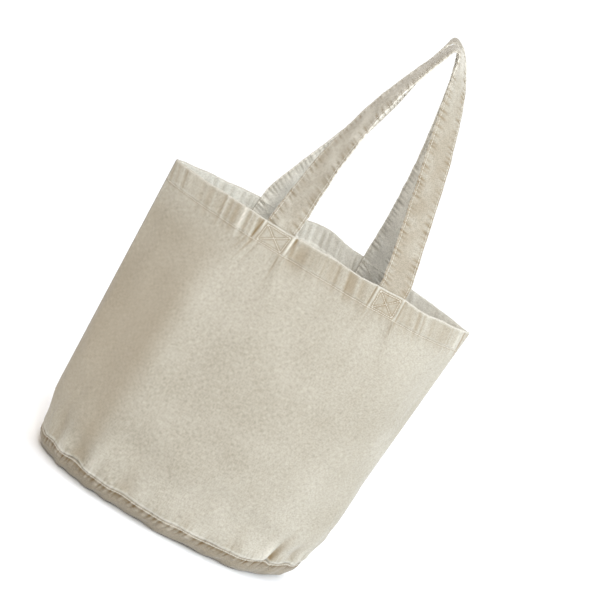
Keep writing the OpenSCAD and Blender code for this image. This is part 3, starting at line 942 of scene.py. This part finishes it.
class Strap:
    """One handle as a strip: its middle line, its width direction and its outward direction by distance."""

    def __init__(self, s, seed):
        self.s = s
        top, centre = TURNS[s]["top"], self.top_centre()
        left, right = self.leg("left", -1), self.leg("right", 1)
        a0, a1 = (math.atan2(p[-1][2] - centre[2], p[-1][0] - centre[0]) for p, _turn in (left, right))
        a = np.linspace(a0, a1, 20)[1:-1]
        bend = centre + BEND_R * np.stack([np.cos(a), np.zeros_like(a), np.sin(a)], 1)
        points = np.concatenate([left[0], bend, right[0][::-1]])
        turn = np.concatenate([left[1], np.linspace(top, 180 - top, len(bend)), 180 - right[1][::-1]])
        dist = distances(points)
        self.length = dist[-1]
        self.at = np.linspace(0, self.length, int(self.length / 0.001))
        p = self.soften(np.stack([np.interp(self.at, dist, points[:, i]) for i in range(3)], 1), 5)
        turn = self.soften(np.interp(self.at, dist, turn)[:, None], 25)[:, 0]
        # the ends stand straight, so that the webbing leaves the hem square
        end = np.minimum(self.at, self.length - self.at)
        rise = np.where(self.at < self.length / 2, 1.0, -1.0)[:, None] * np.array([0, 0, 1.0])
        k = smooth(end, HEM_H + 0.004, HEM_H + 0.035)[:, None]
        d = unit(unit(np.gradient(p, axis=0)) * k + rise * (1 - k))
        tilt = np.radians(TOP_TILT) * np.clip(np.minimum(turn - 30, 150 - turn) / 60, 0, 1)
        a = np.radians(turn)
        g = np.stack([np.cos(a), s * np.sin(a) * np.cos(tilt), s * np.sin(a) * np.sin(tilt)], 1)
        w = unit(g - (g * d).sum(1, keepdims=True) * d)
        self.p, self.w, self.n = p, w, -s * np.cross(w, d)
        self.crease = Waves(seed, 0.018, 0.060, 18)
        self.cup = Waves(seed + 1, 0.060, 0.200, 10)
        self.edge = [Ridges(seed + 2 + i, 0, self.length, 0.0064) for i in (0, 1)]
        self.folds = [creases(seed + 7 + i, 0, self.length, 0.0072) for i in (0, 1)]
        self.sway = Waves(seed + 5, 0.012, 0.030, 16)

    @staticmethod
    def soften(values, half):
        kernel = np.hanning(2 * half + 3)[1:-1]
        kernel /= kernel.sum()
        before, after = 2 * values[0] - values[half:0:-1], 2 * values[-1] - values[-2:-half - 2:-1]
        padded = np.concatenate([before, values, after])
        return np.stack([np.convolve(column, kernel, "valid") for column in padded.T], 1)

    def top_centre(self):
        reach = self.s * (STRAP_W / 2 + 0.002)
        k = math.radians(TOP_TILT)
        return np.array([APEX[0], reach * math.cos(k), APEX[1] + reach * math.sin(k) - BEND_R])

    def leg(self, name, sx):
        """Middle line and turn of one leg, from the hem to the bend at the top."""
        s, turns = self.s, TURNS[self.s]
        d0, d1, pull0, pull1 = LEG_WAYS[s][name]
        d0, d1 = unit(np.array(d0, float)), unit(np.array(d1, float))
        low = wall(s, sx * STRAP_U, HEM_AT + 0.006, STRAP_IN)
        q = self.top_centre() + BEND_R * unit(np.array([sx * d1[2], 0, -sx * d1[0]]))
        p = np.array([*wall(s, sx * STRAP_U, 1.0, STRAP_IN)[:2], LEG_Z])
        h = APEX[1] - LEG_Z
        along = np.linspace(0, 1, 120)
        curve = bez([p, p + h * pull0 * d0, q - h * pull1 * d1, q], along)
        sewn = low + (p - low) * np.linspace(0, 1, 20)[:-1, None]
        angle = turns["rim"] + (turns["top"] - turns["rim"]) * along ** turns[name]
        # the sewn end lies flat along the hem
        normal = section(s, sx * STRAP_U, 1.0)[1]
        flat = math.degrees(math.atan2(abs(normal[0]), abs(normal[1])))
        angle = flat + (angle - flat) * smooth(along, 0.0, 0.12)
        return np.concatenate([sewn, curve]), np.concatenate([np.full(len(sewn), flat), angle])

    def pucker(self, dist, q):
        """Ridges, and narrow creases between them, along the stitches of the two edges."""
        dist = dist + 0.006 * q
        return (np.where(q < 0, kind[0](dist), kind[1](dist)) for kind in (self.edge, self.folds))

    def surface(self, dist, q, side):
        """Point on the outer (side 1) or inner (side -1) face at a distance and at q, -1 to 1 across."""
        dist, q, side = np.broadcast_arrays(*(np.asarray(x, float) for x in (dist, q, side)))
        p, w, n = (np.stack([np.interp(dist, self.at, c) for c in v.T], -1) for v in (self.p, self.w, self.n))
        free = smooth(np.minimum(dist, self.length - dist), HEM_H - 0.002, HEM_H + 0.020)
        aq = np.abs(q)
        rim = np.clip((aq - 0.90) / 0.10, 0, 1)
        half = STRAP_T / 2 * (1 - 0.22 * bump(aq, 0.84, 0.045)) * np.sqrt(np.maximum(1 - rim**2.2, 0.0))
        ridge, fold = self.pucker(dist, q)
        near = smooth(aq, 0.22, 0.72) * (1 - 0.6 * smooth(aq, 0.84, 0.98))
        relief = near * (0.00055 * ridge - 0.00085 * fold) * side
        cup = self.cup(dist)
        rumpled = 0.00030 + 0.00060 * smooth(cup, 0.2, 1.0)
        relief += free * rumpled * self.crease(dist + 0.010 * q, q * 0.02) * (1.1 - 0.6 * aq)
        relief += free * 0.0008 * cup * (aq**2 - 0.4)
        shift = 0.00016 * self.sway(dist, q * 0.01) * free * q
        point = p + w * (q * STRAP_W / 2 + shift)[..., None] + n * (side * half + relief)[..., None]
        return point, n * side[..., None]


straps = {FRONT: Strap(FRONT, 200), BACK: Strap(BACK, 230)}


def strap_piece(s, body, name, shape, slot, stands_for, **looks):
    """One piece of a handle, attached to no body, with its transform baked into its mesh."""
    obj = piece(name, shape, slot, stands_for, None, **looks)
    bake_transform(obj)
    return obj


# where the two rows of stitches run, from -1 to 1 across the webbing
EDGE_STITCHES = 0.84


def make_strap(s, body):
    strap = straps[s]
    dist = np.linspace(0, strap.length, int(strap.length / 0.0011))
    edge = np.linspace(0.80, 1, 9)
    q = np.concatenate([-edge[::-1], np.linspace(-0.80, 0.80, 22)[1:-1], edge])
    dd, qq = np.meshgrid(dist, q, indexing="ij")
    outer, _ = strap.surface(dd, qq, 1.0)
    inner, _ = strap.surface(dd[:, 1:-1], qq[:, ::-1][:, 1:-1], -1.0)
    ring = np.concatenate([outer, inner], 1)
    rows, cols = ring.shape[:2]
    faces = grid_faces(rows, cols, ring_cols=True)
    # each end is closed by quads between the two faces
    m = len(q)
    for first, way in ((0, -1), ((rows - 1) * cols, 1)):
        for i in range(m - 1):
            corners = (i, i + 1, (cols - i - 1) if i + 1 < m - 1 else m - 1, (cols - i) % cols)
            face = list(dict.fromkeys(first + c for c in corners))
            if len(face) > 2:
                faces.append(face[::way])
    if s == BACK:
        faces = [f[::-1] for f in faces]
    round_q = np.concatenate([q, q[::-1][1:-1]])
    across = np.concatenate([q, q[::-1][1:-1] + 3]) * STRAP_W / 2
    uv = np.stack(np.broadcast_arrays(across[None], dist[:, None]), -1)
    signs, along = np.meshgrid(round_q, dist)
    aq = np.abs(signs)
    patches = Waves(600 + s, 0.012, 0.045, 20)(along, signs * 0.02)
    ridge, fold = strap.pucker(along, signs)
    # edges paler from wear and tone in patches; painted highlight on the pucker ridges, painted shade in
    # their creases and along the stitch rows
    wear = 0.6 * smooth(aq, 0.95, 1.0) + (0.25 * ridge - 0.7 * fold) * smooth(aq, 0.25, 0.65)
    wear += 0.08 * patches * (1 - smooth(aq, 0.9, 1.0)) - 0.30 * bump(aq, EDGE_STITCHES, 0.035)
    # painted light: the inner faces paler, the back handle's fully, where they lie in shade
    wear[:, m:] += 0.35 if s == FRONT else 1.0
    # the front handle's outer face a little paler up the left leg and darker from the top down the right leg
    if s == FRONT:
        wear[:, :m] += (0.12 * smooth(dist, 0.10, 0.25) - 0.42 * smooth(dist, 0.30, 0.42))[:, None]
    nodes = [body, f"{body}_left_end", f"{body}_right_end"]
    return strap_piece(s, body, f"{body}_webbing", (ring, faces), "strap_canvas", nodes, uv=uv, wear=wear)


def make_strap_stitching(s, body):
    strap = straps[s]
    start = HEM_H - 0.001
    parts = []
    for side in (1.0, -1.0):
        for q in (-EDGE_STITCHES, EDGE_STITCHES):
            def at(d, q=q, side=side):
                p, n = strap.surface(d + start, q, side)
                return p + n * THREAD_OUT, n
            parts.append(stitch_line(at, strap.length - 2 * start, 0.0035, int(300 + 10 * q + side)))
    name = f"{body}_edge_stitching"
    strap_piece(s, body, name, join_parts(parts), "sewing_thread", [f"{body}_stitching"])


for s, body in ((FRONT, "front_handle"), (BACK, "back_handle")):
    make_strap(s, body)
    make_strap_stitching(s, body)


# ---- stitching on the cloth ----
def on_panel(s):
    """Gives a function from (distance along the panel, height above the seam) to point and normal."""
    step = 0.0004

    def at(a, h):
        a, h = np.broadcast_arrays(np.asarray(a, float), np.asarray(h, float))
        p, pa, ph = (wall_surface(s, (a + i) / PANEL_HALF, (h + j) / WALL_H)[0]
                     for i, j in ((0, 0), (step, 0), (0, step)))
        n = -s * unit(np.cross(pa - p, ph - p))
        return p + n * 0.00010, n
    return at


def make_hem_stitching(s, name):
    at = on_panel(s)
    wander = Waves(400 + s, 0.05, 0.2, 6)
    half = 0.2185

    def line(d):
        return at(d - half, STITCH_H + 0.00025 * wander(d - half))

    piece(f"{name}_thread", stitch_line(line, 2 * half, 0.0035, 410 + s), "sewing_thread", [name])


def polyline(at, corners):
    """Function and length for a line through corners given as (a, h)."""
    corners = np.array(corners, float)
    dist = distances(corners)
    return lambda d: at(*(np.interp(d, dist, c) for c in corners.T)), dist[-1]


def make_box_stitching(s, sx, name):
    """A sewn box with a cross, on the outside of the hem and on the webbing's inner face."""
    middle = sx * BOX_AT
    left, right, low, high = middle - BOX_HALF, middle + BOX_HALF, BOX_LOW, BOX_TOP
    box = [(left, low), (right, low), (right, high), (left, high), (left, low)]
    crosses = [(left, low), (right, high)], [(right, low), (left, high)]
    strap = straps[s]
    start_h = wall(s, sx * STRAP_U, HEM_AT + 0.006, STRAP_IN)[2] - SEAM_Z

    def inside(a, h):
        d = np.maximum(h - start_h, 0.0005)
        q = np.clip((middle - a) * sx / (STRAP_W / 2), -1, 1)
        p, n = strap.surface(d if sx < 0 else strap.length - d, q, -1.0)
        return p + n * THREAD_OUT, n

    parts = []
    for k, at in enumerate((on_panel(s), inside)):
        for j, corners in enumerate((box, *crosses)):
            parts.append(stitch_line(*polyline(at, corners), 0.0031, 430 + 10 * k + j, 0.00038))
    piece(f"{name}_thread", join_parts(parts), "sewing_thread", [name])


# how far below the seam, in degrees of its turn, the base is sewn
SEW_FALL = 4.0


def make_base_stitching():
    angle = np.linspace(0, TAU, 4000)
    dist = distances(oval(angle, np.radians(SEW_FALL)))

    def line(d):
        a = np.interp(d % dist[-1], dist, angle)
        p, n = base_surface(a, np.full(a.shape, np.radians(SEW_FALL)))
        return p + n * 0.0001, n

    shape = stitch_line(line, dist[-1], 0.0034, 450)
    piece("base_seam_stitching_thread", shape, "sewing_thread", ["base_seam_stitching"])


for s, side in ((FRONT, "front"), (BACK, "back")):
    make_hem_stitching(s, f"{side}_hem_stitching")
    for sx, end in ((-1, "left"), (1, "right")):
        make_box_stitching(s, sx, f"{side}_{end}_box_stitching")
make_base_stitching()


# ---- seam allowances inside ----
def strip(a, b, outward, thickness, name, closed=False):
    """A raw strip of two layers between two lines of points, a where it is sewn and b its raw edge."""
    m = 7
    k = np.linspace(0, 1, m)[None, :, None]
    mid = a[:, None] * (1 - k) + b[:, None] * k
    off = outward[:, None] * thickness / 2
    ring = np.concatenate([mid + off, (mid - off)[:, ::-1]], 1)
    n, cols = ring.shape[:2]
    faces = grid_faces(n, cols, ring_rows=closed, ring_cols=True, caps=not closed)
    if name.startswith("left"):
        faces = [f[::-1] for f in faces]
    w = np.linalg.norm(b[0] - a[0])
    across = np.concatenate([np.linspace(0, w, m), np.linspace(w, 0, m) + 0.1])
    uv = np.stack(np.broadcast_arrays(across[None], distances(a)[:, None]), -1)
    frayed = np.linspace(0, 0.6, m)
    wear = np.broadcast_to(np.concatenate([frayed, frayed[::-1]])[None], (n, cols))
    piece(f"{name}_cloth", (ring, faces), "seam_allowance", [name], uv=uv, wear=wear)


def overlock(edge, inward, face, name, closed=False):
    """Two looper threads zigzag over the raw edge, with a row of needle stitches."""
    even = (np.arange(len(edge)) % 2 == 0)[:, None]
    reach = np.where(even, -0.0006, 0.0036)
    parts = []
    for side in (-1, 1):
        zigzag = edge + inward * reach + face * side * np.where(even, 0.0002, 0.0011)
        parts.append(tube(zigzag, 0.00026, 5, closed))
    parts.append(tube(edge - inward * 0.0006, 0.00034, 5, closed))
    piece(f"{name}_thread", join_parts(parts), "overlock_thread", [name])


def meeting_x(z):
    """How far from the middle the insides of the two panels meet at a side seam, at height z."""
    t = (z - SEAM_Z) / (RIM_Z - RIM_DROOP - SEAM_Z)
    end = np.ones_like(t)
    slant = [CLOTH_T / np.maximum(np.abs(section(s, end, t)[1][:, 0]), 0.2) for s in SIDES]
    return BASE_L + (RIM_W - BASE_L) * t + wall_relief(FRONT, end, t)[0] - np.maximum(*slant) - 0.0012


def make_side_seam(sx, side):
    low, high = (corner.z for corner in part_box(f"{side}_side_seam"))
    z = np.linspace(low, high, int((high - low) / 0.0022))
    sway = Waves(500 + sx, 0.02, 0.09, 14)
    x = meeting_x(z)
    width = ALLOWANCE + 0.0003 * sway(z, 2.0)
    a = settle(np.stack([sx * x, np.zeros(len(z)), z], 1))
    b = settle(np.stack([sx * (x - width), 0.0011 * sway(z), z + 0.0004 * sway(z, 5.0)], 1))
    d = np.broadcast_to([0.0, 1.0, 0.0], a.shape)
    strip(a, b, d, 0.0017, f"{side}_side_seam")
    overlock(b, unit(a - b), d, f"{side}_side_overlock")


def make_base_seam():
    cols = 420
    angle = np.arange(cols) * TAU / cols
    fall_high = np.full(cols, np.radians(3.5))
    fall_low = math.asin(1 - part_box("base_seam")[0].z / SEAM_Z)
    sway = Waves(520, 0.03, 0.10, 12)(np.cos(angle) * 0.19, np.sin(angle) * 0.19)
    lift = base_relief(angle, fall_high)[1]
    depth = CLOTH_T + 0.0017
    a = oval(angle, fall_high, depth)
    b = oval(angle, fall_low + 0.02 * sway, depth + 0.0004)
    a[:, 2] += lift * 0.8
    b[:, 2] += lift * 0.5
    a, b = settle(a), settle(b)
    n = unit(oval(angle, fall_high) - oval(angle, fall_high, 1.0))
    strip(a, b, n, 0.0016, "base_seam", closed=True)
    overlock(b, unit(a - b), n, "base_overlock", closed=True)


make_side_seam(-1, "left")
make_side_seam(1, "right")
make_base_seam()


# ---- floor, light and camera ----
SOFT_LIGHT = (0.50, -0.52, 0.70)
SOFT_POWER = 0.70
SOFT_COLOR = (0.90, 1.0, 1.14)
SHADE_POWER = 0.42
SHADE_COLOR = (1.0, 0.79, 0.54)
ZENITH_POWER = 1.9
WALL_POWER = 1.10


def make_stage():
    mesh = bpy.data.meshes.new("floor")
    size = 12.0
    corners = [(x * size, y * size, 0) for x, y in ((-1, -1), (1, -1), (1, 1), (-1, 1))]
    mesh.from_pydata(corners, [], [(0, 1, 2, 3)])
    floor = add_object("floor", mesh)
    floor.location.z = -0.0004
    g = Graph(bpy.data.materials.new("floor_white"))
    tone = g.remap(g.noise(g.place(), 3.0, 2.0), 0.3, 0.7, 0.93, 0.96)
    mix = g.mix(tone, (0.90, 0.90, 0.90), (0.97, 0.97, 0.97))
    mesh.materials.append(g.finish(mix, 0.9, None, 0.0))


def make_world():
    """A white studio: a soft light from the upper right, white walls all round, warm shade elsewhere."""
    world = bpy.data.worlds.new("studio")
    g = Graph(world)
    way = g.add("ShaderNodeTexCoord", {}).outputs["Generated"]
    soft = g.toward(way, SOFT_LIGHT)
    height = g.toward(way, (0.0, 0.0, 1.0))
    walls = g.remap(height, 0.16, 0.30, 1.0, 0.0)
    zenith = g.math("POWER", height, 6.0)
    strength = g.math("MULTIPLY_ADD", zenith, ZENITH_POWER, SHADE_POWER)
    strength = g.math("MULTIPLY_ADD", soft, SOFT_POWER, strength)
    strength = g.math("MAXIMUM", strength, g.times(walls, WALL_POWER))
    color = g.mix(g.math("MAXIMUM", soft, zenith), SHADE_COLOR, SOFT_COLOR)
    color = g.mix(walls, color, (1.0, 1.0, 1.0))
    back = g.add("ShaderNodeBackground", {0: color, 1: strength})
    g.add("ShaderNodeOutputWorld", {0: back.outputs[0]})
    bpy.context.scene.world = world


def area_light(name, place, power, color):
    """A soft lamp that looks at the middle of the bag."""
    light = bpy.data.lights.new(name, "AREA")
    light.shape = "DISK"
    light.size = 0.6
    light.energy = power
    light.color = color
    obj = add_object(name, light)
    obj.location = place
    obj.rotation_euler = (Vector((0, 0, 0.3)) - Vector(place)).to_track_quat("-Z", "Y").to_euler()


CAMERA_AT = Vector((-0.1581, -1.4366, 0.6193))
CAMERA_AIM = Vector((0.0072, 0.0, 0.3208))
CAMERA_ROLL = 31.77
CAMERA_LENS = 73.49


def make_camera():
    data = bpy.data.cameras.new("camera")
    data.lens = CAMERA_LENS
    data.sensor_width = 36.0
    data.clip_start = 0.05
    camera = add_object("camera", data)
    look = (CAMERA_AIM - CAMERA_AT).to_track_quat("-Z", "Y").to_matrix().to_4x4()
    roll = Matrix.Rotation(math.radians(CAMERA_ROLL), 4, "Z")
    camera.matrix_world = Matrix.Translation(CAMERA_AT) @ look @ roll
    bpy.context.scene.camera = camera


make_stage()
make_world()
area_light("key", (2.5, -0.7, 1.1), 30, (0.87, 0.95, 1.0))
area_light("front", (0.1, -2.5, 1.6), 39, (1.0, 1.0, 1.0))
make_camera()
bpy.context.scene.view_settings.view_transform = "Standard"
